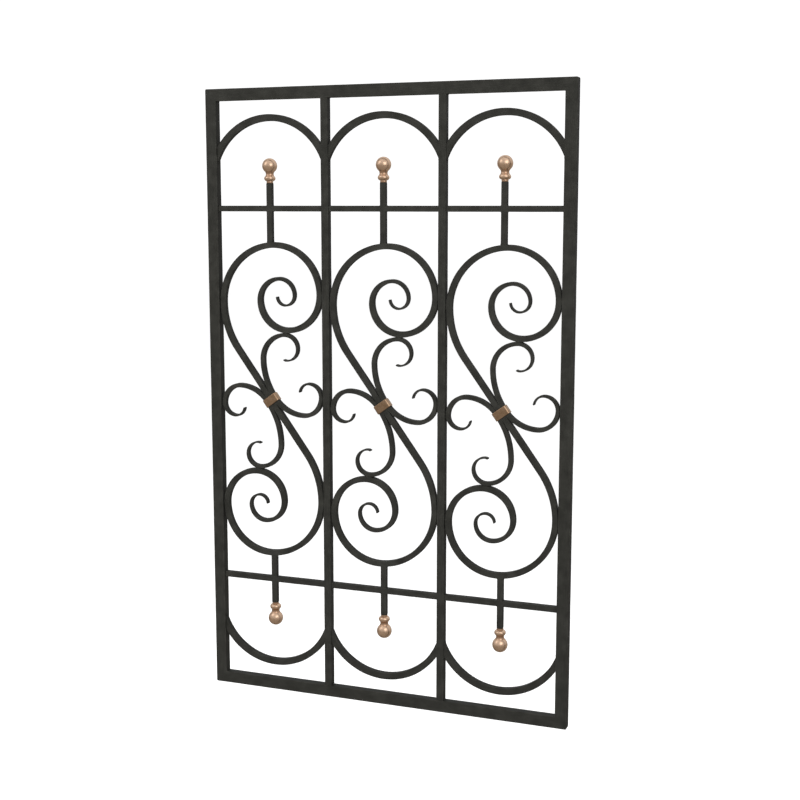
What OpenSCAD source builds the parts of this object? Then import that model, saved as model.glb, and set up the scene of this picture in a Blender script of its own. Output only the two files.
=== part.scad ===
// Window security bar: a welded grille of three equal bays in a box-section frame.
// Each bay holds one tall S-scroll, two C-scrolls bound to it by a wrapped collar, an arch at each
// end, and stems that end in ball finials. Units are millimetres, +Z is up, +Y points to the window.
// The origin is the centre of the panel. The front of the grille faces -Y.

/* [Panel] */
// Overall width of the frame
panel_w = 834; // [750:1:1010]
// Overall height of the frame
panel_h = 1350; // [1250:1:1700]

/* [Frame tube] */
// Width of the box section across its face
frame_w = 25; // [20:1:32]
// Depth of the box section, front to back
frame_d = 19; // [17:0.5:30]
// Wall of the box section
tube_wall = 2; // [1.5:0.5:3]

/* [Straight bars] */
// Side of the square upright between two bays
upright_t = 16; // [13:0.5:17]
// Side of the square bar used for crossbars and stems
bar_t = 12; // [10:0.5:14]
// Distance from each end of the frame to the crossbar's centre line
crossbar_inset = 258.5; // [240:0.5:300]
// Length of the stem from the upper crossbar down to the S-scroll
upper_stem = 67; // [40:1:90]
// Length of the stem from the lower crossbar up to the S-scroll
lower_stem = 48.5; // [30:1:70]
// Length of each stem from its crossbar out to the finial
outer_stem = 49; // [35:1:60]

/* [Arches] */
// Thickness of the arch band in the plane of the grille
arch_t = 14; // [10:0.5:16]
// Gap between the frame and the crown of the arch
arch_gap = 31.5; // [20:0.5:45]
// Arch radius as a multiple of half the bay, so that the arch meets the bars at an angle
arch_open = 1.125; // [1.08:0.005:1.2]

/* [Scrolls] */
// Thickness of the S-scroll in the plane of the grille
s_t = 12; // [10:0.5:14]
// Thickness of a C-scroll in the plane of the grille
c_t = 9; // [7:0.5:10]
// Thickness of every scroll at its tip
tip_t = 2.6; // [2:0.1:4]
// Depth of the arches and scrolls, front to back
scroll_d = 12; // [9:0.5:14]
// Gap between a scroll and the bar or scroll beside it, which the weld fills
weld_gap = 1.6; // [0.8:0.1:2.5]
// Length of the straight run of the S-scroll on each side of its centre
s_straight = 142; // [110:1:150]

/* [Collar] */
// Length of the collar along the bars that it binds
collar_len = 19; // [14:0.5:24]
// Wall of the collar
collar_wall = 2.8; // [1.5:0.1:4]
// Distance from the S-scroll's centre up to the collar's centre
collar_shift = 3.5; // [0:0.5:5]
// Clearance between the collar and the bars inside it
collar_clear = 0.3; // [0.2:0.05:0.5]

/* [Finials] */
// Diameter of the ball
ball_d = 33; // [28:0.5:36]
// Diameter of the bead under the ball
bead_d = 25; // [22:0.5:27]
// Height of the bead
bead_h = 12; // [10:0.5:13]
// Diameter of the neck between ball and bead
neck_d = 17.2; // [15:0.1:19]
// Diameter of the foot that seats on the stem
foot_d = 14.6; // [13:0.1:16]
// Height of the foot under the bead
foot_h = 4; // [3:0.5:5]
// Height of the ball's centre above the stem
ball_z = 37; // [34:0.5:40]
// Diameter of the spigot turned on the end of the stem
spigot_d = 6; // [5:0.5:8]
// Length of the spigot
spigot_len = 18; // [12:1:24]
// Clearance between the spigot and the hole in the finial
spigot_clear = 0.05; // [0.02:0.01:0.1]

/* [Hidden] */
$fn = 64;
// Degrees between neighbouring points on a scroll's edge
arc_step = 5;
// How far a cutting shape runs past what it cuts
over = 1;

bay_names = ["left", "middle", "right"];
bay_w = (panel_w - 2 * frame_w - 2 * upright_t) / 3;
bay_pitch = bay_w + upright_t;
inner_top = panel_h / 2 - frame_w;
crossbar_z = panel_h / 2 - crossbar_inset;

arch_r = arch_open * bay_w / 2;
arch_z = inner_top - arch_gap - arch_t / 2 - arch_r;

// The S-scroll fills the height that the two inner stems leave between the crossbars
s_half = crossbar_z - bar_t / 2 - (upper_stem + lower_stem) / 2;
s_centre_z = (lower_stem - upper_stem) / 2;

// Width of the S-scroll's lobe, from centre line to centre line
lobe_w = bay_w - s_t - 2 * weld_gap;
// Radii of the lobe's turns as shares of its width: seven quarter turns, then the part turn of the tip
lobe_shares = [0.54, 0.46, 0.333, 0.279, 0.201, 0.153, 0.095, 0.084];
tip_sweep = 85;
// Share of the length at which each scroll starts to thin towards its tip
s_thin_from = 0.78;
c_thin_from = 0.57;

// The flank is a straight run and one arc that reach the lobe's widest point, where the bar is upright
flank_z = s_half - s_t / 2 - lobe_shares[0] * lobe_w;
// Lean of the S-scroll at its centre, from upright
lean = 2 * atan((lobe_w / 2) / (s_straight + flank_z));
flank_r = (flank_z - lobe_w / 2 / tan(lean)) / tan(lean / 2);
// Lowest point of the upper lobe's centre line
lobe_low_x = (lobe_shares[0] + lobe_shares[1] - lobe_shares[2] - 0.5) * lobe_w;
lobe_low_z = flank_z + (lobe_shares[0] - lobe_shares[1] - lobe_shares[2]) * lobe_w;

// C-scroll: its centre line starts beside the S-scroll at the middle of the collar
// How far the top of the upper curl stands to the left of the lobe's lowest point
c_crown_side = 6.2;
// Radius of the lower curl's first turn, as a share of the C-scroll's reach
c_side_share = 0.373;
// The turns of each curl: radius as a share of the first turn's, and the angle turned
c_curl_turns = [[1, 90], [0.552, 90], [0.487, 90], [0.22, 30]];
c_side_turns = [[1, 90], [0.7, 90], [0.525, 81]];
// Top of the upper curl's centre line, which stops just under the lobe
c_crown = [lobe_low_x - c_crown_side, lobe_low_z - (s_t + c_t) / 2];
// Widest point of the lower curl's centre line, which stops beside the bar
c_side_x = bay_w / 2 - weld_gap - c_t / 2;
// Shortest straight run to either side of the start
c_least_run = 1;

function c_start(shift) = (s_t + c_t) / 2 * [cos(lean), sin(lean)] + shift * [-sin(lean), cos(lean)];
// The back is one arc from a straight run to upright, and the curl's first turn takes it to the crown
function curl_r(start, run) =
    let (x = c_crown[0] - start[0] + run * sin(lean), z = c_crown[1] - start[1] - run * cos(lean))
    (x + z * tan(lean / 2)) / (1 + tan(lean / 2));
function back_r(start, run) = (c_crown[1] - start[1] - run * cos(lean) - curl_r(start, run)) / sin(lean);
// The sweep is one arc from a straight run to level, and the lower curl's first turn takes it to the bar
function side_r(start) = c_side_share * (c_side_x - start[0]);
function sweep_r(start, run) = (c_side_x - start[0] - side_r(start) - run * sin(lean)) / cos(lean);
// An arc starts inside the collar, as far from its end as the collar's clearance allows
function c_run(radius) = max(c_least_run, collar_len / 2 - sqrt(2 * radius * collar_clear));
function up_run(start) = c_run(back_r(start, collar_len / 2));
function down_run(start) = c_run(sweep_r(start, collar_len / 2));

// Welds between a scroll and its neighbour
weld_len = 14;
weld_d = scroll_d - 3;

copper = [0.66, 0.47, 0.34];
iron = [0.22, 0.22, 0.2];

// ---- Centre lines. A point is [x, z, heading in degrees, distance travelled]. ----

// Runs along tangent arcs, each [radius, sweep]. side is 1 for left turns and -1 for right turns.
function trace(arcs, side, from, i = 0) =
    let (
        r = arcs[i][0],
        sweep = arcs[i][1],
        n = max(2, ceil(sweep / arc_step)),
        centre = [from[0], from[1]] + r * side * [-sin(from[2]), cos(from[2])],
        points = [for (k = [1 : n])
            let (a = from[2] + side * sweep * k / n)
            [centre[0] + r * side * sin(a), centre[1] - r * side * cos(a), a,
             from[3] + r * sweep * k / n * PI / 180]]
    )
    concat(points, i + 1 < len(arcs) ? trace(arcs, side, points[n - 1], i + 1) : []);

// Moves a point straight ahead
function ahead(p, run) = [p[0] + run * cos(p[2]), p[1] + run * sin(p[2]), p[2], p[3] + run];

// A straight run and then arcs, without the starting point
function branch(from, run, arcs, side) =
    let (first = ahead(from, run))
    concat([first], trace(arcs, side, first));

// Replaces the distance of each point by the bar's thickness there
function thinned(path, full, thin_from) =
    let (total = path[len(path) - 1][3])
    [for (p = path)
        let (late = max(0, (p[3] / total - thin_from) / (1 - thin_from)))
        [p[0], p[1], p[2], full - (full - tip_t) * late]];

function reversed(path) = [for (k = [len(path) - 1 : -1 : 0]) path[k]];

// One edge of the bar: side is 1 for the left edge and -1 for the right edge
function edge(path, side) =
    [for (p = path) [p[0] - side * p[3] / 2 * sin(p[2]), p[1] + side * p[3] / 2 * cos(p[2])]];

function outline(path) = concat(edge(path, 1), reversed(edge(path, -1)));

s_turns = concat([[flank_r, lean]],
                 [for (k = [0 : 6]) [lobe_shares[k] * lobe_w, 90]],
                 [[lobe_shares[7] * lobe_w, tip_sweep]]);
s_upper = thinned(branch([0, 0, 90 + lean, 0], s_straight, s_turns, -1), s_t, s_thin_from);
s_lower = [for (p = s_upper) [-p[0], -p[1], p[2], p[3]]];
s_path = concat(reversed(s_lower), s_upper);

function scaled(turns, radius) = [for (t = turns) [t[0] * radius, t[1]]];

function c_upper(start, run) =
    let (turns = concat([[back_r(start, run), lean]], scaled(c_curl_turns, curl_r(start, run))))
    thinned(branch([start[0], start[1], 90 + lean, 0], run, turns, -1), c_t, c_thin_from);

function c_lower(start, run) =
    let (turns = concat([[sweep_r(start, run), 90 - lean]], scaled(c_side_turns, side_r(start))))
    thinned(branch([start[0], start[1], lean - 90, 0], run, turns, 1), c_t, c_thin_from);

// The upper C-scroll, started that far up the S-scroll from its centre
function c_path(shift) =
    let (start = c_start(shift), lower = c_lower(start, down_run(start)))
    concat(reversed([for (p = lower) [p[0], p[1], p[2] + 180, p[3]]]), c_upper(start, up_run(start)));

// ---- Placing ----

// Stands a flat outline up in the plane of the grille and gives it a depth
module standing(depth) {
    rotate([90, 0, 0])
        linear_extrude(height = depth, center = true)
            children();
}

module in_bay(k) {
    translate([(k - 1) * bay_pitch, 0, 0]) children();
}

// Draws the child at the upper end, or turned end for end at the lower one
module at_end(upper) {
    rotate([0, upper ? 0 : 180, 0]) children();
}

// ---- Flat outlines in the plane of the grille, about the bay's centre ----

module s_outline() {
    translate([0, s_centre_z]) polygon(outline(s_path));
}

module c_outline(shift) {
    translate([0, s_centre_z]) polygon(outline(c_path(shift)));
}

// The same outlines turned half a turn about the S-scroll's centre
module half_turned() {
    translate([0, 2 * s_centre_z]) rotate(180) children();
}

// ---- Frame ----

// Box section along X with mitred ends; its outer face is at z = 0 and its inner face at z = frame_w
module mitred_tube(len) {
    difference() {
        standing(frame_d)
            polygon([[-len / 2, 0], [len / 2, 0],
                     [len / 2 - frame_w, frame_w], [frame_w - len / 2, frame_w]]);
        translate([-len / 2 - over, -frame_d / 2 + tube_wall, tube_wall])
            cube([len + 2 * over, frame_d - 2 * tube_wall, frame_w - 2 * tube_wall]);
    }
}

module rail(upper) {
    color(iron) at_end(!upper) translate([0, 0, -panel_h / 2]) mitred_tube(panel_w);
}

module stile(side) {
    color(iron) rotate([0, side * -90, 0]) translate([0, 0, -panel_w / 2]) mitred_tube(panel_h);
}

module upright(side) {
    color(iron) translate([side * bay_pitch / 2, 0, 0])
        cube([upright_t, upright_t, 2 * inner_top], center = true);
}

module crossbar(upper) {
    color(iron) translate([0, 0, upper ? crossbar_z : -crossbar_z])
        cube([bay_w, bar_t, bar_t], center = true);
}

module arch(upper) {
    color(iron) at_end(upper) standing(scroll_d)
        intersection() {
            translate([0, arch_z]) difference() {
                circle(r = arch_r + arch_t / 2, $fn = 128);
                circle(r = arch_r - arch_t / 2, $fn = 128);
            }
            translate([-bay_w / 2, arch_z]) square([bay_w, arch_r + arch_t]);
        }
}

// ---- Stems and finials ----

// Runs from the crossbar to the S-scroll, whose outline copes its end
module inner_stem(upper) {
    stem_len = upper ? upper_stem : lower_stem;
    z0 = upper ? crossbar_z - bar_t / 2 - stem_len - s_t / 2 : bar_t / 2 - crossbar_z;
    color(iron) standing(bar_t)
        difference() {
            translate([-bar_t / 2, z0]) square([bar_t, stem_len + s_t / 2]);
            s_outline();
            // the far side of the S-scroll's band
            translate([-bar_t, upper ? s_centre_z : s_centre_z - s_half + s_t / 2])
                square([2 * bar_t, s_half - s_t / 2]);
        }
}

module outer_stem_bar(upper) {
    color(iron) at_end(upper) translate([0, 0, crossbar_z + bar_t / 2]) {
        translate([-bar_t / 2, -bar_t / 2, 0]) cube([bar_t, bar_t, outer_stem]);
        translate([0, 0, outer_stem - over]) cylinder(d = spigot_d, h = spigot_len + over);
    }
}

// Turned finial: foot, bead, neck and ball, bored for the stem's spigot
module finial(upper) {
    bead_z = foot_h + bead_h / 2;
    color(copper) at_end(upper) translate([0, 0, crossbar_z + bar_t / 2 + outer_stem])
        difference() {
            rotate_extrude()
                intersection() {
                    union() {
                        square([foot_d / 2, bead_z]);
                        translate([0, bead_z - bead_h / 2]) square([(bead_d - bead_h) / 2, bead_h]);
                        translate([(bead_d - bead_h) / 2, bead_z]) circle(d = bead_h);
                        translate([0, bead_z]) square([neck_d / 2, ball_z - bead_z]);
                        translate([0, ball_z]) circle(d = ball_d);
                    }
                    square([ball_d, ball_z + ball_d]);
                }
            translate([0, 0, -over])
                cylinder(d = spigot_d + 2 * spigot_clear, h = spigot_len + spigot_clear + over);
        }
}

// ---- Scrolls ----

module s_scroll() {
    color(iron) standing(scroll_d) s_outline();
}

module c_scroll(upper) {
    color(iron) standing(scroll_d) {
        if (upper) c_outline(collar_shift);
        else half_turned() c_outline(-collar_shift);
    }
}

// Band wrapped round the S-scroll and the two C-scrolls, square to them
module collar() {
    inner_w = s_t + 2 * c_t + 2 * collar_clear;
    inner_d = scroll_d + 2 * collar_clear;
    corner_r = collar_wall * 0.8;
    color(copper) translate([0, 0, s_centre_z]) rotate([0, -lean, 0])
        translate([0, 0, collar_shift - collar_len / 2])
            linear_extrude(height = collar_len)
                difference() {
                    rounded_rect(inner_w + 2 * collar_wall, inner_d + 2 * collar_wall, corner_r);
                    square([inner_w, inner_d], center = true);
                }
}

module rounded_rect(w, d, r) {
    square([w - 2 * r, d], center = true);
    square([w, d - 2 * r], center = true);
    for (x = [-1, 1], y = [-1, 1])
        translate([x * (w / 2 - r), y * (d / 2 - r)]) circle(r = r);
}

// Block from one x to another, weld_len tall about height z
module weld_block(x_from, x_to, z) {
    translate([x_from, z - weld_len / 2]) square([x_to - x_from, weld_len]);
}

// Welds from the S-scroll's upper lobe to the bars on both sides, at the lobe's widest points
module s_welds() {
    left_z = flank_z + s_centre_z;
    right_z = left_z + (lobe_shares[0] - lobe_shares[1]) * lobe_w;
    bite = weld_gap + s_t / 4;
    difference() {
        union() {
            weld_block(-bay_w / 2, bite - bay_w / 2, left_z);
            weld_block(bay_w / 2 - bite, bay_w / 2, right_z);
        }
        s_outline();
    }
}

// Welds from the C-scroll's lower curl to the bar, and from its upper curl to the S-scroll
module c_welds(shift) {
    start = c_start(shift);
    run = down_run(start);
    sweep_drop = run * cos(lean) + sweep_r(start, run) * (1 - sin(lean));
    side_z = s_centre_z + start[1] - sweep_drop + side_r(start);
    difference() {
        union() {
            weld_block(bay_w / 2 - weld_gap - c_t / 4, bay_w / 2, side_z);
            translate([c_crown[0] - weld_len / 2, c_crown[1] + s_centre_z])
                square([weld_len, (s_t + c_t) / 2]);
        }
        s_outline();
        c_outline(shift);
    }
}

module scroll_welds() {
    color(iron) standing(weld_d) {
        s_welds();
        half_turned() s_welds();
        c_welds(collar_shift);
        half_turned() c_welds(-collar_shift);
    }
}

stile(-1);  // left_stile
stile(1);  // right_stile
rail(true);  // top_rail
rail(false);  // bottom_rail
upright(-1);  // left_upright
upright(1);  // right_upright
for (k = [0 : 2]) {
    in_bay(k) crossbar(true);
    in_bay(k) crossbar(false);
    in_bay(k) arch(true);
    in_bay(k) arch(false);
    in_bay(k) inner_stem(true);
    in_bay(k) inner_stem(false);
    in_bay(k) outer_stem_bar(true);
    in_bay(k) outer_stem_bar(false);
    in_bay(k) finial(true);
    in_bay(k) finial(false);
    in_bay(k) s_scroll();
    in_bay(k) c_scroll(true);
    in_bay(k) c_scroll(false);
    in_bay(k) collar();
    in_bay(k) scroll_welds();
}
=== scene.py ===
"""Window security bar: finished pieces, materials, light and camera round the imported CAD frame.

Lengths are metres in the row frame: +Z up the panel, +X to the right, and the front faces -Y.
"""

import math

import bmesh
import bpy
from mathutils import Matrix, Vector, noise


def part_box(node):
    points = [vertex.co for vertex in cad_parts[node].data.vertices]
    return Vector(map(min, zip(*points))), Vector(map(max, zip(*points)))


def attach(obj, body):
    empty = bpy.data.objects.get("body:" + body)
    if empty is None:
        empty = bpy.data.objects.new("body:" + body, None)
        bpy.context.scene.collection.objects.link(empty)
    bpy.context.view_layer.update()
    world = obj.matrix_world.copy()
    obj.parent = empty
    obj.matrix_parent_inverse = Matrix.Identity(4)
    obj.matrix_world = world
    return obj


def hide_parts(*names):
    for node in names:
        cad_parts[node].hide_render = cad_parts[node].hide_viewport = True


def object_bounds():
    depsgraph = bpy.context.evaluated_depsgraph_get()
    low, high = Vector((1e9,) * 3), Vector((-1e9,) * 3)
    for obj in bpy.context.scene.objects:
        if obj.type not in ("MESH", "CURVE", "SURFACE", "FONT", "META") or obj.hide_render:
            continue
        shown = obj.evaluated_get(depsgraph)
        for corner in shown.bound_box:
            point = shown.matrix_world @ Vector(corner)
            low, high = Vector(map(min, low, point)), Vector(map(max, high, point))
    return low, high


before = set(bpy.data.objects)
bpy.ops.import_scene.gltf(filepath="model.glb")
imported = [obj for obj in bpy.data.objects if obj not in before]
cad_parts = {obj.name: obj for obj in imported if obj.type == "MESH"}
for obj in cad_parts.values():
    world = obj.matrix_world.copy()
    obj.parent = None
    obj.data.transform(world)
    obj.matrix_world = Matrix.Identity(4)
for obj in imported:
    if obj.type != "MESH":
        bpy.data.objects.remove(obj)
cad_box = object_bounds()

MM = 0.001
BAYS = ("left", "middle", "right")
RIGHT = Vector((1, 0, 0))
BACK = Vector((0, 1, 0))
UP = Vector((0, 0, 1))


def size(node):
    low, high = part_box(node)
    return high - low


def centre(node):
    low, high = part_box(node)
    return (low + high) / 2


# Sizes of the panel, read from the frame
TUBE_W = size("left_stile").x
TUBE_D = size("left_stile").y
PANEL_W = size("top_rail").x
PANEL_H = size("left_stile").z
UPRIGHT_T = size("left_upright").x
BAR_T = size("upper_crossbar_middle").z
BAY_W = size("upper_crossbar_middle").x
BAY_X = {bay: centre("upper_crossbar_" + bay).x for bay in BAYS}
CROSSBAR_Z = centre("upper_crossbar_middle").z
INNER_TOP = PANEL_H / 2 - TUBE_W
SCROLL_D = size("s_scroll_middle").y
SCROLL_Z = centre("s_scroll_middle").z
SCROLL_HALF = size("s_scroll_middle").z / 2
STEM_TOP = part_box("upper_finial_middle")[0].z  # where the outer stems end and the finials begin

# Proportions of the arches and scrolls, as the CAD part draws them
ARCH_T = 14 * MM
ARCH_OPEN = 1.125  # radius as a multiple of half the bay
S_T = 12 * MM
C_T = 9 * MM
TIP_T = 2.6 * MM  # thickness of every scroll's tip
WELD_GAP = 1.6 * MM
S_STRAIGHT = 142 * MM  # straight run of the S-scroll either way from its centre
LOBE_SHARES = (0.54, 0.46, 0.333, 0.279, 0.201, 0.153, 0.095, 0.084)  # radii, as shares of the lobe's width
TIP_SWEEP = 85  # degrees turned by the last of those radii, where the others turn a quarter
S_THIN_FROM = 0.78  # share of the way to the tip where the bar starts to thin
C_THIN_FROM = 0.57
C_CROWN_SIDE = 6.2 * MM  # how far the C-scroll's crown stands to the left of the lobe's lowest point
C_SIDE_SHARE = 0.373  # radius of the side curl, as a share of the C-scroll's reach
C_CURL_TURNS = ((1, 90), (0.552, 90), (0.487, 90), (0.22, 30))  # (share of the first radius, degrees)
C_SIDE_TURNS = ((1, 90), (0.7, 90), (0.525, 81))
C_LEAST_RUN = 1 * MM  # shortest straight run inside the collar
COLLAR_LEN = 19 * MM
COLLAR_WALL = 2.8 * MM
COLLAR_SHIFT = 3.5 * MM  # how far up the S-scroll the collar sits from its centre
COLLAR_CLEAR = 0.3 * MM

ARCH_R = ARCH_OPEN * BAY_W / 2
ARCH_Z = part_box("top_arch_middle")[1].z - ARCH_T / 2 - ARCH_R
LOBE_W = BAY_W - S_T - 2 * WELD_GAP
FLANK_Z = SCROLL_HALF - S_T / 2 - LOBE_SHARES[0] * LOBE_W
LEAN = 2 * math.atan(LOBE_W / 2 / (S_STRAIGHT + FLANK_Z))  # of the S-scroll's straight run, in radians
FLANK_R = (FLANK_Z - LOBE_W / 2 / math.tan(LEAN)) / math.tan(LEAN / 2)
LOBE_LOW_X = (LOBE_SHARES[0] + LOBE_SHARES[1] - LOBE_SHARES[2] - 0.5) * LOBE_W
LOBE_LOW_Z = FLANK_Z + (LOBE_SHARES[0] - LOBE_SHARES[1] - LOBE_SHARES[2]) * LOBE_W
C_CROWN_X = LOBE_LOW_X - C_CROWN_SIDE
C_CROWN_Z = LOBE_LOW_Z - (S_T + C_T) / 2

# Surface finish
CORNER = 0.8 * MM  # rounding of a solid bar's long edges
TUBE_CORNER = 1.3 * MM  # rounding of the box section's long edges
PANEL_CORNER = 3 * MM  # rounding of the frame's four outer corners, ground flush after welding
ROUNDEST = 0.46  # the most that a corner's rounding may take of its section's width or depth
PAINT = 0.3 * MM  # thickness of the paint on every iron face
HAMMER = 0.16 * MM  # how far the hand-worked surface stands in or out
HAMMER_SPAN = 22 * MM  # distance between one hammered high spot and the next
SEAT = 0.8 * MM  # how far a bar's end runs into the rounded face of the bar that it meets
ARCH_SEAT = 1.5  # degrees that an arch's end runs into the bar that it meets
STEM_RECESS = 0.25 * MM  # how far a stem's faces stand behind those of the bars that it runs into
STEM_EASE = 1.2 * MM  # rounding of a stem's outer end
TIP_EASE = 0.42 * TIP_T  # rounding of a scroll's tip

# Edge values, which the materials read: 1 on a corner lightened as wear and painted highlight, 0 on a flat
# and -1 in a recess darkened as painted shade
END_WEAR_AND_HIGHLIGHT = 0.6  # the least on a rounded end
# painted shade: the finial's foot under the bead and its cove are darkened
FOOT_SHADE = -0.6
COVE_SHADE = -0.8

# Fineness of the meshes
ARC_STEP = 4  # degrees between neighbouring sections of a curved bar
STRAIGHT_STEP = 12 * MM  # distance between neighbouring sections of a straight bar
CORNER_STEPS = 4  # faces round each corner of a section
EASE_STEPS = 4  # sections in a rounded end
SUPPORT = 0.7 * MM  # distance from a rounded corner of the point that keeps the flat beside it flat
SUPPORT_SHARE = 0.4  # the most that this distance may take of half the flat
SHARP_ANGLE = 50  # degrees between two faces from which their shared edge shows sharp

# Studio
FLOOR_DROP = 0.45  # from the panel's lowest edge down to the floor
FLOOR_RADIUS = 30
WORLD_LIGHT = 1.1
CAMERA_AIM = (0.0372, 0, 0.0094)
CAMERA_AZIMUTH = 21.016
CAMERA_ELEVATION = 8.276
CAMERA_DISTANCE = 2.8794
CAMERA_LENS = 60.28
CAMERA_SENSOR = 36


# ---- Centre lines: lists of (x, z, heading in radians, distance travelled) ----


def ahead(point, run):
    """The point moved straight on along its heading."""
    x, z, heading, travelled = point
    return (x + run * math.cos(heading), z + run * math.sin(heading), heading, travelled + run)


def straight(point, run, step=STRAIGHT_STEP):
    """Points along a straight run, without its start."""
    n = max(1, round(run / step))
    return [ahead(point, run * k / n) for k in range(1, n + 1)]


def turns(point, arcs, side):
    """Points along tangent arcs, each (radius, degrees). side is 1 for left turns, -1 for right."""
    points = []
    for radius, sweep in arcs:
        x, z, start, travelled = point
        cx = x - radius * side * math.sin(start)
        cz = z + radius * side * math.cos(start)
        n = max(3, math.ceil(sweep / ARC_STEP))
        for k in range(1, n + 1):
            turned = math.radians(sweep) * k / n
            heading = start + side * turned
            points.append((cx + radius * side * math.sin(heading), cz - radius * side * math.cos(heading),
                           heading, travelled + radius * turned))
        point = points[-1]
    return points


def branch(point, run, arcs, side):
    """A straight run and then arcs, without the starting point."""
    line = straight(point, run)
    return line + turns(line[-1], arcs, side)


def thinned(path, full, thin_from):
    """(x, z, heading, thickness) along a path that thins towards its tip."""
    total = path[-1][3]
    late = [max(0, (p[3] / total - thin_from) / (1 - thin_from)) for p in path]
    return [(p[0], p[1], p[2], full - (full - TIP_T) * t) for p, t in zip(path, late)]


def s_centre_line():
    """The S-scroll from its lower tip to its upper one, about its own centre."""
    arcs = [(FLANK_R, math.degrees(LEAN))]
    arcs += [(share * LOBE_W, 90) for share in LOBE_SHARES[:-1]]
    arcs += [(LOBE_SHARES[-1] * LOBE_W, TIP_SWEEP)]
    upper = thinned(branch((0, 0, math.pi / 2 + LEAN, 0), S_STRAIGHT, arcs, -1), S_T, S_THIN_FROM)
    lower = [(-x, -z, heading, t) for x, z, heading, t in upper]
    return lower[::-1] + upper


class CScroll:
    """The upper C-scroll, about the S-scroll's centre. It starts at a shift up the S-scroll from there."""

    def __init__(self, shift):
        off = (S_T + C_T) / 2
        self.x = off * math.cos(LEAN) - shift * math.sin(LEAN)
        self.z = off * math.sin(LEAN) + shift * math.cos(LEAN)
        self.reach = BAY_W / 2 - WELD_GAP - C_T / 2 - self.x
        self.side_r = C_SIDE_SHARE * self.reach
        self.up_run = self.run_inside_collar(self.upper_radii(COLLAR_LEN / 2)[1])
        self.down_run = self.run_inside_collar(self.sweep_r(COLLAR_LEN / 2))
        drop = self.down_run * math.cos(LEAN) + self.sweep_r(self.down_run) * (1 - math.sin(LEAN))
        self.side_z = self.z - drop + self.side_r

    def upper_radii(self, run):
        """The radii of the upper curl's first turn and of the arc before it, after a straight run."""
        x = C_CROWN_X - self.x + run * math.sin(LEAN)
        z = C_CROWN_Z - self.z - run * math.cos(LEAN)
        curl = (x + z * math.tan(LEAN / 2)) / (1 + math.tan(LEAN / 2))
        return curl, (z - curl) / math.sin(LEAN)

    def sweep_r(self, run):
        """The radius of the arc before the side curl, after a straight run."""
        return (self.reach - self.side_r - run * math.sin(LEAN)) / math.cos(LEAN)

    def run_inside_collar(self, radius):
        """The straight run after which an arc just clears the collar's end."""
        return max(C_LEAST_RUN, COLLAR_LEN / 2 - math.sqrt(2 * radius * COLLAR_CLEAR))

    def centre_line(self):
        """From the side curl's tip to the upper curl's tip."""
        lean = math.degrees(LEAN)
        curl_r, back_r = self.upper_radii(self.up_run)
        up_arcs = [(back_r, lean)] + [(share * curl_r, sweep) for share, sweep in C_CURL_TURNS]
        down_arcs = [(self.sweep_r(self.down_run), 90 - lean)]
        down_arcs += [(share * self.side_r, sweep) for share, sweep in C_SIDE_TURNS]
        up = branch((self.x, self.z, math.pi / 2 + LEAN, 0), self.up_run, up_arcs, -1)
        down = branch((self.x, self.z, LEAN - math.pi / 2, 0), self.down_run, down_arcs, 1)
        up = thinned(up, C_T, C_THIN_FROM)
        down = thinned(down, C_T, C_THIN_FROM)
        down = [(x, z, heading + math.pi, t) for x, z, heading, t in down]
        return down[::-1] + [(self.x, self.z, math.pi / 2 + LEAN, C_T)] + up


def placed(path, x, z, turned=False):
    """The path about (x, z), turned half a turn if asked."""
    sign = -1 if turned else 1
    spin = math.pi if turned else 0
    return [(x + sign * px, z + sign * pz, heading + spin, t) for px, pz, heading, t in path]


def straight_line(start, end, thickness):
    """A straight bar's centre line between two (x, z) points."""
    dx = end[0] - start[0]
    dz = end[1] - start[1]
    first = (start[0], start[1], math.atan2(dz, dx), 0)
    line = [first] + straight(first, math.hypot(dx, dz))
    return [(x, z, heading, thickness) for x, z, heading, _ in line]


# ---- Meshes ----


class Shell:
    """Collects lofted rings into one mesh, with UVs in metres and an edge value at each vertex."""

    def __init__(self):
        self.points = []
        self.edge = []
        self.faces = []
        self.uvs = []

    def loft(self, rings):
        """Joins rings of (point, edge value) one to the next, and closes both ends."""
        n = len(rings[0])
        first = len(self.points)
        for ring in rings:
            self.points += [p for p, _ in ring]
            self.edge += [e for _, e in ring]
        around = [0.0]
        for k in range(n):
            around.append(around[-1] + (rings[0][(k + 1) % n][0] - rings[0][k][0]).length)
        along = 0.0
        for r in range(len(rings) - 1):
            a = first + r * n
            b = a + n
            step = (self.points[b] - self.points[a]).length
            for k in range(n):
                m = (k + 1) % n
                self.faces.append((a + k, a + m, b + m, b + k))
                self.uvs += [(along, around[k]), (along, around[k + 1]),
                             (along + step, around[k + 1]), (along + step, around[k])]
            along += step
        last = first + (len(rings) - 1) * n
        self.faces += [tuple(range(first + n - 1, first - 1, -1)), tuple(range(last, last + n))]
        self.uvs += [(0.0, v) for v in reversed(around[:n])] + [(along, v) for v in around[:n]]

    def piece(self, name, material, nodes=()):
        """Makes the mesh a piece that rides on the root and stands for the CAD nodes."""
        mesh = bpy.data.meshes.new(name)
        mesh.from_pydata(self.points, [], self.faces)
        layer = mesh.uv_layers.new(name="metres")
        layer.data.foreach_set("uv", [value for uv in self.uvs for value in uv])
        mesh.attributes.new("edge", "FLOAT", "POINT").data.foreach_set("value", self.edge)
        shape = bmesh.new()
        shape.from_mesh(mesh)
        bmesh.ops.recalc_face_normals(shape, faces=shape.faces)
        shape.to_mesh(mesh)
        shape.free()
        mesh.polygons.foreach_set("use_smooth", [True] * len(mesh.polygons))
        mesh.set_sharp_from_angle(angle=math.radians(SHARP_ANGLE))
        mesh.materials.append(material)
        obj = bpy.data.objects.new(name, mesh)
        bpy.context.collection.objects.link(obj)
        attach(obj, "root")
        if nodes:
            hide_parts(*nodes)
        return obj


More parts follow.
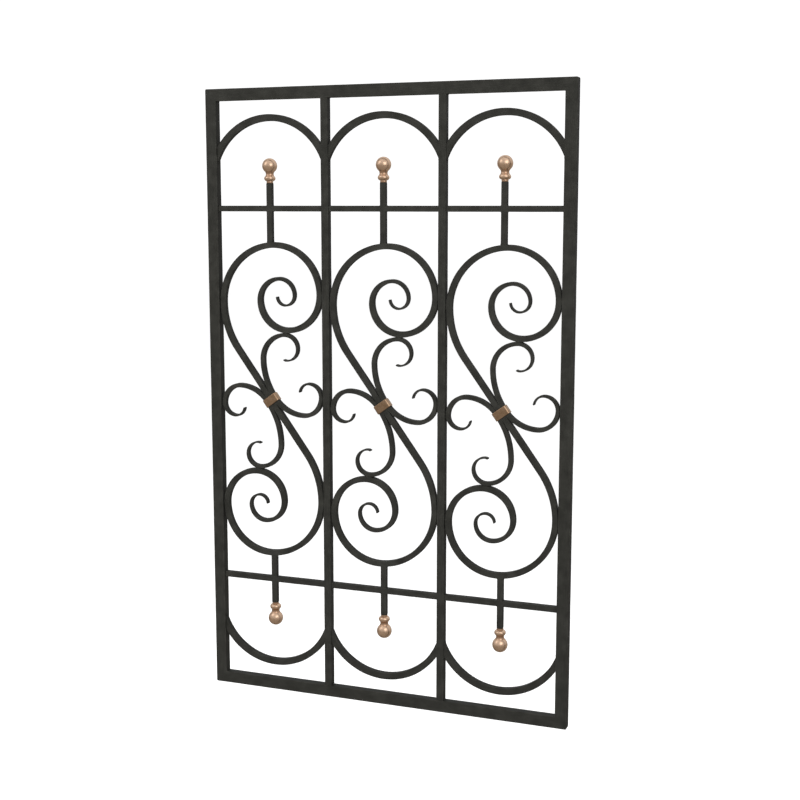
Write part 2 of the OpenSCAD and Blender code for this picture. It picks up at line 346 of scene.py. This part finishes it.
def rounded_section(width, depth, corner):
    """A rounded rectangle as [(across, back, edge value)], anticlockwise seen from ahead."""
    corner = min(corner, ROUNDEST * width, ROUNDEST * depth)
    half_flat = min(width, depth) / 2 - corner
    support = min(SUPPORT, SUPPORT_SHARE * half_flat)
    step = math.pi / 2 / CORNER_STEPS
    points = []
    for quarter in range(4):
        start = quarter * math.pi / 2
        end = start + math.pi / 2
        cx = (width / 2 - corner) * (1 if quarter in (0, 3) else -1)
        cy = (depth / 2 - corner) * (1 if quarter in (0, 1) else -1)
        arc = [(cx + corner * math.cos(start + k * step),
                cy + corner * math.sin(start + k * step),
                1 - abs(2 * k / CORNER_STEPS - 1)) for k in range(CORNER_STEPS + 1)]
        points.append((arc[0][0] + support * math.sin(start), arc[0][1] - support * math.cos(start), 0))
        points += arc
        points.append((arc[-1][0] - support * math.sin(end), arc[-1][1] + support * math.cos(end), 0))
    return points


def hammered(point, outward, amount=HAMMER):
    """The point moved in or out as hand working leaves it."""
    return point + outward * (amount * noise.noise(point / HAMMER_SPAN))


def section_at(x, z, heading, section):
    """Places a section of (across, back, edge value) square to the heading in the plane of the grille."""
    across = Vector((-math.sin(heading), 0, math.cos(heading)))
    ring = []
    for a, b, edge in section:
        outward = (across * a + BACK * b).normalized()
        ring.append((hammered(Vector((x, b, z)) + across * a, outward), edge))
    return ring


def eased_end(station, depth, ease, direction):
    """Sections that round a bar's end off. direction is 1 ahead of the station and -1 behind it."""
    x, z, heading, thickness = station
    rings = []
    for k in range(1, EASE_STEPS + 1):
        angle = k / EASE_STEPS * math.pi / 2
        run = direction * ease * math.sin(angle)
        inset = 2 * ease * (1 - math.cos(angle))
        section = rounded_section(thickness - inset, depth - inset, CORNER)
        # a rounded end is lightened all over, as wear and painted highlight
        rings.append(section_at(x + run * math.cos(heading), z + run * math.sin(heading), heading,
                                [(a, b, max(edge, END_WEAR_AND_HIGHLIGHT)) for a, b, edge in section]))
    return rings


def bar_piece(node, path, depth, start_ease=0, end_ease=0):
    """A painted bar along a path of (x, z, heading, thickness), its ends cut square or eased."""
    path = [(x, z, heading, t + 2 * PAINT) for x, z, heading, t in path]
    depth += 2 * PAINT
    rings = [section_at(x, z, heading, rounded_section(t, depth, CORNER)) for x, z, heading, t in path]
    if start_ease:
        rings = eased_end(path[0], depth, start_ease, -1)[::-1] + rings
    if end_ease:
        rings += eased_end(path[-1], depth, end_ease, 1)
    shell = Shell()
    shell.loft(rings)
    return shell.piece(node + "_bar", IRON, [node])


# ---- Frame ----

MITRE_SECTIONS = [back * MM for back in (0, 0.4, 1, 2, 3, 4.5, 8)]  # distances back from the mitre plane


def corner_cut(back):
    """How far the rounded outer corner cuts in, at a distance back from the mitre plane."""
    if back >= PANEL_CORNER:
        return 0.0
    return PANEL_CORNER - (back + math.sqrt(2 * PANEL_CORNER**2 - back**2)) / 2


def frame_member(node, length, across, outward):
    """A length of box section with mitred ends. across is from the panel's centre to its outer face."""
    along = BACK.cross(outward)
    section = rounded_section(TUBE_W + 2 * PAINT, TUBE_D + 2 * PAINT, TUBE_CORNER)
    n = round((length - 2 * TUBE_W) / STRAIGHT_STEP)
    # (which end, distance back from its mitre plane), or (0, share of the way along) between the ends
    stations = [(-1, back) for back in MITRE_SECTIONS]
    stations += [(0, k / n) for k in range(1, n)]
    stations += [(1, back) for back in reversed(MITRE_SECTIONS)]
    rings = []
    for end, value in stations:
        ring = []
        for a, b, edge in section:
            inward = TUBE_W / 2 - a
            if end:
                cut = corner_cut(value)
                inward = cut + inward * (TUBE_W - cut) / TUBE_W
                run = end * (length / 2 - inward - value)
            else:
                run = (2 * value - 1) * (length / 2 - inward - MITRE_SECTIONS[-1])
            point = outward * (across - inward) + along * run + BACK * b
            ring.append((hammered(point, (outward * a + BACK * b).normalized()), edge))
        rings.append(ring)
    shell = Shell()
    shell.loft(rings)
    return shell.piece(node + "_tube", IRON, [node])


def make_frame():
    frame_member("left_stile", PANEL_H, PANEL_W / 2, -RIGHT)
    frame_member("right_stile", PANEL_H, PANEL_W / 2, RIGHT)
    frame_member("top_rail", PANEL_W, PANEL_H / 2, UP)
    frame_member("bottom_rail", PANEL_W, PANEL_H / 2, -UP)
    for side in ("left", "right"):
        x = centre(side + "_upright").x
        reach = INNER_TOP + SEAT
        bar_piece(side + "_upright", straight_line((x, -reach), (x, reach), UPRIGHT_T), UPRIGHT_T)


# ---- Bars of one bay ----


def arch_line(bay, up):
    """The arch's centre line, run on a little into the bars beside it."""
    foot = math.degrees(math.acos(BAY_W / 2 / (ARCH_R - ARCH_T / 2))) - ARCH_SEAT
    angle = math.radians(foot)
    start = (ARCH_R * math.cos(angle), ARCH_R * math.sin(angle), angle + math.pi / 2, 0)
    line = [start] + turns(start, [(ARCH_R, 180 - 2 * foot)], 1)
    z = ARCH_Z if up else -ARCH_Z
    return placed([(px, pz, heading, ARCH_T) for px, pz, heading, _ in line], BAY_X[bay], z, not up)


def make_bay(bay):
    """The bars, scrolls, finials and collar of one bay."""
    x = BAY_X[bay]
    half = BAY_W / 2 + SEAT
    stem_d = BAR_T - 2 * STEM_RECESS
    for end, sign in (("upper", 1), ("lower", -1)):
        z = sign * CROSSBAR_Z
        bar_piece(f"{end}_crossbar_{bay}", straight_line((x - half, z), (x + half, z), BAR_T), BAR_T)
        # the stems run in further than the other bars, because the scroll's crown curves away beside them
        inner = z - sign * (BAR_T / 2 - 2 * SEAT)
        outer = z + sign * (BAR_T / 2 - 2 * SEAT)
        crown = SCROLL_Z + sign * (SCROLL_HALF - 3 * SEAT)
        bar_piece(f"{end}_inner_stem_{bay}", straight_line((x, inner), (x, crown), BAR_T), stem_d)
        top = sign * (STEM_TOP - STEM_EASE)
        bar_piece(f"{end}_outer_stem_{bay}", straight_line((x, outer), (x, top), BAR_T), stem_d,
                  end_ease=STEM_EASE)
        arch = "top" if sign > 0 else "bottom"
        bar_piece(f"{arch}_arch_{bay}", arch_line(bay, sign > 0), SCROLL_D)
        c_line = placed(CScroll(sign * COLLAR_SHIFT).centre_line(), x, SCROLL_Z, sign < 0)
        bar_piece(f"{end}_c_scroll_{bay}", c_line, SCROLL_D, TIP_EASE, TIP_EASE)
        finial(f"{end}_finial_{bay}", x, sign)
    bar_piece("s_scroll_" + bay, placed(s_centre_line(), x, SCROLL_Z), SCROLL_D, TIP_EASE, TIP_EASE)
    collar(bay)


# ---- Finials: radii, and heights above the stem ----

BALL_R = 16.5 * MM
BALL_Z = 37 * MM
BEAD_R = 6 * MM
BEAD_OUT = 6.5 * MM  # from the axis to the middle of the bead's round
BEAD_Z = 10 * MM
NECK_R = 8.6 * MM
FOOT_R = 7.3 * MM
FOOT_EASE = 0.5 * MM
TURNED_FACES = 64  # faces round the axis


def cove_radius():
    """Radius and height of the hollow that touches bead and ball and comes to NECK_R from the axis."""
    low = 1 * MM
    high = 30 * MM
    for _ in range(40):
        r = (low + high) / 2
        bead_rise = math.sqrt((r + BEAD_R) ** 2 - (r + NECK_R - BEAD_OUT) ** 2)
        ball_fall = math.sqrt((r + BALL_R) ** 2 - (r + NECK_R) ** 2)
        if bead_rise + ball_fall < BALL_Z - BEAD_Z:
            low = r
        else:
            high = r
    return r, BEAD_Z + bead_rise


def arc_points(cx, cz, radius, start, end, step=6):
    """Points on a circle from one angle to another, in degrees."""
    n = max(2, math.ceil(abs(end - start) / step))
    angles = [math.radians(start + (end - start) * k / n) for k in range(n + 1)]
    return [(cx + radius * math.cos(a), cz + radius * math.sin(a)) for a in angles]


def finial_profile():
    """(radius, height above the stem, edge value) from the foot up to the top of the ball."""
    cove_r, cove_z = cove_radius()
    cove_out = NECK_R + cove_r
    to_bead = math.degrees(math.atan2(cove_z - BEAD_Z, cove_out - BEAD_OUT))
    to_ball = math.degrees(math.atan2(cove_z - BALL_Z, cove_out))
    under = -math.degrees(math.acos((FOOT_R - BEAD_OUT) / BEAD_R))
    nearly_up = 89  # the ball's last degree is closed by a flat too small to see
    foot = [(FOOT_R - FOOT_EASE, 0), (FOOT_R - 0.15 * FOOT_EASE, 0.25 * FOOT_EASE), (FOOT_R, FOOT_EASE),
            (FOOT_R, BEAD_Z - BEAD_R - FOOT_EASE), (FOOT_R, BEAD_Z - BEAD_R)]
    bead = arc_points(BEAD_OUT, BEAD_Z, BEAD_R, under, to_bead)
    cove = arc_points(cove_out, cove_z, cove_r, 180 + to_bead, 180 + to_ball)[1:-1]
    ball = arc_points(0, BALL_Z, BALL_R, to_ball, nearly_up)
    return ([(r, z, FOOT_SHADE) for r, z in foot] + [(r, z, 0) for r, z in bead]
            + [(r, z, COVE_SHADE) for r, z in cove] + [(r, z, 0) for r, z in ball])


def finial(node, x, sign):
    """A turned finial on the stem's outer end: sign is 1 above the panel's middle and -1 below it."""
    angles = [sign * 2 * math.pi * k / TURNED_FACES for k in range(TURNED_FACES)]
    rings = []
    for radius, height, edge in finial_profile():
        z = sign * (STEM_TOP + height)
        rings.append([(Vector((x + radius * math.cos(a), radius * math.sin(a), z)), edge) for a in angles])
    shell = Shell()
    shell.loft(rings)
    return shell.piece(node + "_turned", COPPER, [node])


# ---- Collars ----

STRIP_BEND = 2.6 * MM  # radius of the strip's middle round each corner
STRIP_CORNER = 1.1 * MM  # rounding of the strip's edges
STRIP_CROWN = 0.35 * MM  # how far the outer face rises along its middle
STRIP_SEAM = 0.35 * MM  # gap between the butted ends
STRIP_STEP = 2 * MM  # distance between neighbouring sections
STRIP_HAMMER = 0.25 * MM


def collar(bay):
    """A strip wrapped round the three bars, its ends butted at the middle of the back."""
    tall = S_T + 2 * C_T + 2 * COLLAR_CLEAR + COLLAR_WALL
    deep = SCROLL_D + 2 * COLLAR_CLEAR + COLLAR_WALL
    end_run = tall / 2 - STRIP_BEND - STRIP_SEAM / 2
    route = [(STRIP_SEAM / 2, -deep / 2, 0.0, 0.0)]
    for run in (end_run, deep - 2 * STRIP_BEND, tall - 2 * STRIP_BEND, deep - 2 * STRIP_BEND):
        route += straight(route[-1], run, STRIP_STEP)
        route += turns(route[-1], [(STRIP_BEND, 90)], 1)
    route += straight(route[-1], end_run, STRIP_STEP)

    axis = Vector((-math.sin(LEAN), 0, math.cos(LEAN)))
    side = Vector((math.cos(LEAN), 0, math.sin(LEAN)))
    middle = Vector((BAY_X[bay], 0, SCROLL_Z)) + axis * COLLAR_SHIFT
    strip = rounded_section(COLLAR_LEN, COLLAR_WALL, STRIP_CORNER)
    rings = []
    for u, v, heading, _ in route:
        outward = side * math.sin(heading) + BACK * math.cos(heading)
        base = middle + side * u - BACK * v - outward * STRIP_CROWN / 2
        ring = []
        for a, b, edge in strip:
            rise = STRIP_CROWN * (1 - (2 * a / COLLAR_LEN) ** 2) if b > 0 else 0
            ring.append((hammered(base + axis * a + outward * (b + rise), outward, STRIP_HAMMER), edge))
        rings.append(ring)
    shell = Shell()
    shell.loft(rings)
    return shell.piece(f"collar_{bay}_band", SHADED_COPPER, ["collar_" + bay])


# ---- Welds ----

WELD_FACES = 14  # faces round a weld bead
WELD_SECTIONS = 16  # sections along it
WELD_TAPER = 0.6  # 1 would make its ends round, and less makes them blunt
WELD_RIPPLE = 0.06  # how far the ripples rise, as a share of the bead's width
WELD_RIPPLE_SPAN = 1.6 * MM
WELD_HAMMER = 0.3 * MM
WELD_BITE = 0.5 * MM  # how far a bead's middle stands out of the corner that it fills
WELD_SHY = 1 * MM  # how far a bead stops short of the bars' front and back faces
SCROLL_WELD_LENGTH = 15 * MM
SCROLL_WELD_W = 4.4 * MM
MITRE_WELD_SHY = 1.5 * MM
MITRE_WELD_W = 3.6 * MM
UPRIGHT_WELD_W = 3.4 * MM
CROSSING_WELD_W = 2.8 * MM
ARCH_WELD_W = 4 * MM


def add_bead(shell, middle, along, across, length, width, height):
    """A weld bead: a rippled mound, closed all round, with its length along one axis."""
    out = along.cross(across)
    rings = []
    for k in range(1, WELD_SECTIONS):
        angle = (k / WELD_SECTIONS - 0.5) * math.pi
        swell = math.cos(angle) ** WELD_TAPER
        run = math.sin(angle) * length / 2
        ripple = 1 + WELD_RIPPLE * math.cos(2 * math.pi * run / WELD_RIPPLE_SPAN)
        ring = []
        for m in range(WELD_FACES):
            turn = 2 * math.pi * m / WELD_FACES
            a = across * (math.cos(turn) * width / 2 * swell * ripple)
            b = out * (math.sin(turn) * height / 2 * swell * ripple)
            point = middle + along * run + a + b
            ring.append((hammered(point, (a + b).normalized(), WELD_HAMMER), 0.0))
        rings.append(ring)
    shell.loft(rings)


def scroll_welds(bay):
    """Beads that fill the gaps beside the scrolls: each spot is (x, z, lies level) in the upper half."""
    edge_x = BAY_W / 2 - WELD_GAP / 2
    spots = [(-edge_x, FLANK_Z, False),
             (edge_x, FLANK_Z + (LOBE_SHARES[0] - LOBE_SHARES[1]) * LOBE_W, False),
             ((C_CROWN_X + LOBE_LOW_X) / 2, C_CROWN_Z + C_T / 2, True)]
    shell = Shell()
    for sign in (1, -1):
        for x, z, level in spots + [(edge_x, CScroll(sign * COLLAR_SHIFT).side_z, False)]:
            middle = Vector((BAY_X[bay] + sign * x, 0, SCROLL_Z + sign * z))
            along, across = (RIGHT, UP) if level else (UP, RIGHT)
            add_bead(shell, middle, along, across,
                     SCROLL_WELD_LENGTH, SCROLL_WELD_W, SCROLL_D - 2 * WELD_SHY)
    return shell.piece(f"scroll_welds_{bay}_beads", IRON, ["scroll_welds_" + bay])


def fillet_welds(name, spots, length, width):
    """Beads that run front to back in the corners between bars, at (x, z) spots."""
    shell = Shell()
    for x, z in spots:
        add_bead(shell, Vector((x, 0, z)), BACK, RIGHT, length, width, width)
    return shell.piece(name, IRON)


def make_welds():
    """The beads in the corners between bars, which the CAD part doesn't have."""
    corner_x = PANEL_W / 2 - TUBE_W - WELD_BITE
    corner_z = INNER_TOP - WELD_BITE
    mitres = [(sx * corner_x, sz * corner_z) for sx in (1, -1) for sz in (1, -1)]
    fillet_welds("mitre_welds", mitres, TUBE_D - 2 * MITRE_WELD_SHY, MITRE_WELD_W)
    upright_x = [centre(side + "_upright").x for side in ("left", "right")]
    ends = [(x + sx * (UPRIGHT_T / 2 + WELD_BITE), sz * corner_z)
            for x in upright_x for sx in (1, -1) for sz in (1, -1)]
    fillet_welds("upright_welds", ends, UPRIGHT_T - 2 * WELD_SHY, UPRIGHT_WELD_W)
    for bay in BAYS:
        crossings = []
        feet = []
        for sign in (1, -1):
            for sx in (1, -1):
                edge_x = BAY_X[bay] + sx * (BAY_W / 2 - WELD_BITE)
                stem_x = BAY_X[bay] + sx * (BAR_T / 2 + WELD_BITE)
                for sz in (1, -1):
                    bar_z = sign * CROSSBAR_Z + sz * (BAR_T / 2 + WELD_BITE)
                    crossings += [(edge_x, bar_z), (stem_x, bar_z)]
                    radius = ARCH_R + sz * ARCH_T / 2
                    foot_z = math.sqrt(radius**2 - (BAY_W / 2) ** 2) + sz * WELD_BITE
                    feet.append((edge_x, sign * (ARCH_Z + foot_z)))
                crossings.append((stem_x, SCROLL_Z + sign * (SCROLL_HALF + WELD_BITE)))
        fillet_welds("crossing_welds_" + bay, crossings, BAR_T - 2 * WELD_SHY, CROSSING_WELD_W)
        fillet_welds("arch_welds_" + bay, feet, SCROLL_D - 2 * WELD_SHY, ARCH_WELD_W)


# ---- Materials: colours are linear (red, green, blue), and textures are in features a metre ----

PAINT_DARK = (0.0072, 0.0071, 0.0058)
PAINT_LIGHT = (0.0114, 0.0112, 0.0094)
# the lighter tone on edges and ends: partly wear, partly painted highlight
PAINT_WEAR_AND_HIGHLIGHT = (0.032, 0.031, 0.027)
PAINT_PATCHES = 48
PAINT_GRAIN = 1100
PAINT_STROKES = (26, 620, 1)  # along a bar and round it
STROKE_THIN = (0.62, 0.62, 0.62)  # what the strokes multiply the paint's colour by
STROKE_THICK = (1.4, 1.4, 1.4)
STROKE_SHARE = 0.55  # how much of that shows
PAINT_ROUGHNESS = (0.5, 0.68)
PAINT_SHINE = 0.17
PATCH_RELIEF = 0.7 * MM
STROKE_RELIEF = 0.16 * MM
GRAIN_RELIEF = 0.12 * MM

COPPER_PATCHES = 130
COPPER_LINES = (2600, 14, 1)  # turned or filed lines, close together along the piece and long round it
COPPER_ROUGHNESS = (0.2, 0.32)
COPPER_PATCH_RELIEF = 0.25 * MM
COPPER_LINE_RELIEF = 0.02 * MM

FLOOR_TONES = ((0.3, (0.93, 0.93, 0.93)), (0.7, (0.95, 0.95, 0.95)))


def add(tree, kind, inputs=None, **settings):
    """A shader node with its settings, and each input set to a value or linked to a socket."""
    made = tree.nodes.new("ShaderNode" + kind)
    for key, value in settings.items():
        setattr(made, key, value)
    for key, value in (inputs or {}).items():
        if isinstance(value, bpy.types.NodeSocket):
            tree.links.new(value, made.inputs[key])
        else:
            made.inputs[key].default_value = value
    return made


def blotches(tree, place, scale=1.0, detail=3.0, stretch=(1, 1, 1)):
    """Noise from 0 to 1, at scale times stretch features a metre along each axis."""
    mapped = add(tree, "Mapping", {"Vector": place, "Scale": stretch}).outputs["Vector"]
    return add(tree, "TexNoise", {"Vector": mapped, "Scale": scale, "Detail": detail}).outputs["Fac"]


def ramp(tree, factor, *stops):
    """A colour ramp of (position, (r, g, b)) stops."""
    made = add(tree, "ValToRGB", {"Fac": factor})
    elements = made.color_ramp.elements
    while len(elements) < len(stops):
        elements.new(0.5)
    for element, (position, colour) in zip(elements, stops):
        element.position = position
        element.color = (*colour, 1)
    return made.outputs["Color"]


def ranged(tree, value, low_in, high_in, low, high):
    """The value moved from one range to another, and kept inside it."""
    return add(tree, "MapRange", {"Value": value, "From Min": low_in, "From Max": high_in,
                                  "To Min": low, "To Max": high}).outputs["Result"]


def blend_colours(tree, factor, first, second, mode="MIX"):
    """The first colour blended into the second. The node's colour sockets are known by number only."""
    made = add(tree, "Mix", {0: factor, 6: first, 7: second}, data_type="RGBA", blend_type=mode)
    return made.outputs[2]


def new_material(name):
    """A material with its node tree, its main shader and the places that its textures use."""
    material = bpy.data.materials.new(name)
    material.use_nodes = True
    tree = material.node_tree
    shader = tree.nodes["Principled BSDF"]
    coordinates = add(tree, "TexCoord").outputs
    edge = add(tree, "Attribute", attribute_name="edge").outputs["Fac"]
    return material, tree, shader, coordinates["Object"], coordinates["UV"], edge


def bumps(tree, shader, *layers):
    """Stacks bump layers of (height, distance in metres) into the shader's normal."""
    normal = None
    for height, distance in layers:
        inputs = {"Height": height, "Distance": distance, "Strength": 1.0}
        if normal:
            inputs["Normal"] = normal
        normal = add(tree, "Bump", inputs).outputs["Normal"]
    tree.links.new(normal, shader.inputs["Normal"])


def painted_iron():
    """Matt charcoal paint, brushed on by hand and thin, lighter along the edges as wear and painted
    highlight.
    """
    material, tree, shader, place, uv, edge = new_material("painted_iron")
    patches = blotches(tree, place, PAINT_PATCHES)
    grain = blotches(tree, place, PAINT_GRAIN, detail=2.0)
    strokes = blotches(tree, uv, detail=4.0, stretch=PAINT_STROKES)
    base = ramp(tree, patches, (0.3, PAINT_DARK), (0.7, PAINT_LIGHT))
    coats = ramp(tree, strokes, (0.3, STROKE_THIN), (0.72, STROKE_THICK))
    streaked = blend_colours(tree, STROKE_SHARE, base, coats, "MULTIPLY")
    # the edges lightened where the patches allow, as wear and painted highlight
    on_edges = ranged(tree, edge, 0.35, 1.0, 0.0, 1.0)
    in_patches = ranged(tree, patches, 0.42, 0.66, 0.1, 0.8)
    wear_and_highlight = add(tree, "Math", {0: on_edges, 1: in_patches}, operation="MULTIPLY").outputs[0]
    colour = blend_colours(tree, wear_and_highlight, streaked, (*PAINT_WEAR_AND_HIGHLIGHT, 1))
    tree.links.new(colour, shader.inputs["Base Color"])
    tree.links.new(ranged(tree, strokes, 0.25, 0.75, *PAINT_ROUGHNESS), shader.inputs["Roughness"])
    shader.inputs["Specular IOR Level"].default_value = PAINT_SHINE
    bumps(tree, shader, (patches, PATCH_RELIEF), (strokes, STROKE_RELIEF), (grain, GRAIN_RELIEF))
    return material


def copper(name, dull, bright, recess_shade):
    """Brushed copper alloy, clouded between two tones, with a darker third in its recesses as painted
    shade.
    """
    material, tree, shader, place, uv, edge = new_material(name)
    patches = blotches(tree, place, COPPER_PATCHES)
    lines = blotches(tree, uv, stretch=COPPER_LINES)
    base = ramp(tree, patches, (0.3, dull), (0.7, bright))
    # painted shade: recesses darkened towards the third tone
    shade_in_recess = ranged(tree, edge, -0.9, 0.0, 0.75, 0.0)
    colour = blend_colours(tree, shade_in_recess, base, (*recess_shade, 1))
    tree.links.new(colour, shader.inputs["Base Color"])
    shader.inputs["Metallic"].default_value = 1.0
    tree.links.new(ranged(tree, patches, 0.3, 0.7, *COPPER_ROUGHNESS), shader.inputs["Roughness"])
    bumps(tree, shader, (patches, COPPER_PATCH_RELIEF), (lines, COPPER_LINE_RELIEF))
    return material


def pale_floor():
    """A nearly white floor with a very faint cloudiness."""
    material, tree, shader, place, _, _ = new_material("pale_floor")
    tone = ramp(tree, blotches(tree, place, 3), *FLOOR_TONES)
    tree.links.new(tone, shader.inputs["Base Color"])
    shader.inputs["Roughness"].default_value = 0.9
    return material


# ---- Studio ----

# What polished metal reflects: (height, colour), from 0 straight down to 1 straight up
DRAPE = ((0.2, (0.30, 0.28, 0.25)), (0.46, (0.36, 0.34, 0.31)), (0.54, (0.52, 0.52, 0.52)),
         (0.9, (0.7, 0.7, 0.7)))


def make_floor():
    """A plain pale floor, which the hanging panel stays clear of."""
    bpy.ops.mesh.primitive_circle_add(vertices=96, radius=FLOOR_RADIUS, fill_type="NGON",
                                      location=(0, 0, cad_box[0].z - FLOOR_DROP))
    floor = bpy.context.object
    floor.name = "floor"
    floor.data.materials.append(pale_floor())
    floor.visible_glossy = False


def towards(azimuth, elevation):
    """The direction at angles round the panel: azimuth 0 is straight in front and 90 to the right."""
    a = math.radians(azimuth)
    e = math.radians(elevation)
    return Vector((math.sin(a) * math.cos(e), -math.cos(a) * math.cos(e), math.sin(e)))


def aim(obj, target):
    """Turns a light or camera to face the target."""
    obj.rotation_euler = (Vector(target) - obj.location).to_track_quat("-Z", "Y").to_euler()


def softbox(name, azimuth, elevation, distance, width, height, brightness, mirrored):
    """An area light that faces the panel's centre from an angle round it.
    A mirrored one shows in polished metal, and the others only light the matt surfaces."""
    light = bpy.data.lights.new(name, "AREA")
    light.shape = "RECTANGLE"
    light.size = width
    light.size_y = height
    light.energy = brightness * math.pi * width * height
    obj = bpy.data.objects.new(name, light)
    obj.visible_glossy = mirrored
    obj.location = towards(azimuth, elevation) * distance
    bpy.context.collection.objects.link(obj)
    aim(obj, (0, 0, 0))


def make_lights():
    softbox("right_fill", azimuth=9, elevation=16, distance=3.2, width=1.6, height=1.2,
            brightness=21, mirrored=False)
    softbox("left_fill", azimuth=-32, elevation=12, distance=3.4, width=1.8, height=1.6,
            brightness=12, mirrored=False)
    softbox("right_card", azimuth=42, elevation=24, distance=3.2, width=2.2, height=1.8,
            brightness=1.3, mirrored=True)
    softbox("left_card", azimuth=-50, elevation=34, distance=3.2, width=1.6, height=1.6,
            brightness=0.7, mirrored=True)


def make_world():
    """A white surround. What the polished metal reflects is dimmer low down, as in a draped studio."""
    world = bpy.data.worlds.new("studio")
    bpy.context.scene.world = world
    world.use_nodes = True
    tree = world.node_tree
    tree.nodes.clear()
    up = add(tree, "SeparateXYZ", {"Vector": add(tree, "TexCoord").outputs["Generated"]}).outputs["Z"]
    height = ranged(tree, up, -1, 1, 0, 1)
    drape = ramp(tree, height, *DRAPE)
    glossy = add(tree, "LightPath").outputs["Is Glossy Ray"]
    colour = blend_colours(tree, glossy, (1, 1, 1, 1), drape)
    background = add(tree, "Background", {"Color": colour, "Strength": WORLD_LIGHT})
    add(tree, "OutputWorld", {"Surface": background.outputs[0]})


def make_camera():
    """The camera at the photograph's viewing angle."""
    camera = bpy.data.objects.new("camera", bpy.data.cameras.new("camera"))
    camera.location = Vector(CAMERA_AIM) + towards(CAMERA_AZIMUTH, CAMERA_ELEVATION) * CAMERA_DISTANCE
    aim(camera, CAMERA_AIM)
    camera.data.lens = CAMERA_LENS
    camera.data.sensor_width = CAMERA_SENSOR
    bpy.context.collection.objects.link(camera)
    bpy.context.scene.camera = camera


IRON = painted_iron()
COPPER = copper("rose_copper", dull=(0.70, 0.48, 0.335), bright=(0.83, 0.585, 0.42),
                recess_shade=(0.50, 0.29, 0.18))
# the collars: the same copper darkened, as painted shade for their flat faces
SHADED_COPPER = copper("copper_painted_shade", dull=(0.38, 0.245, 0.150), bright=(0.47, 0.315, 0.205),
                 recess_shade=(0.26, 0.14, 0.08))
make_frame()
for bay_name in BAYS:
    make_bay(bay_name)
    scroll_welds(bay_name)
make_welds()
make_floor()
make_world()
make_lights()
make_camera()
bpy.context.scene.view_settings.view_transform = "Standard"
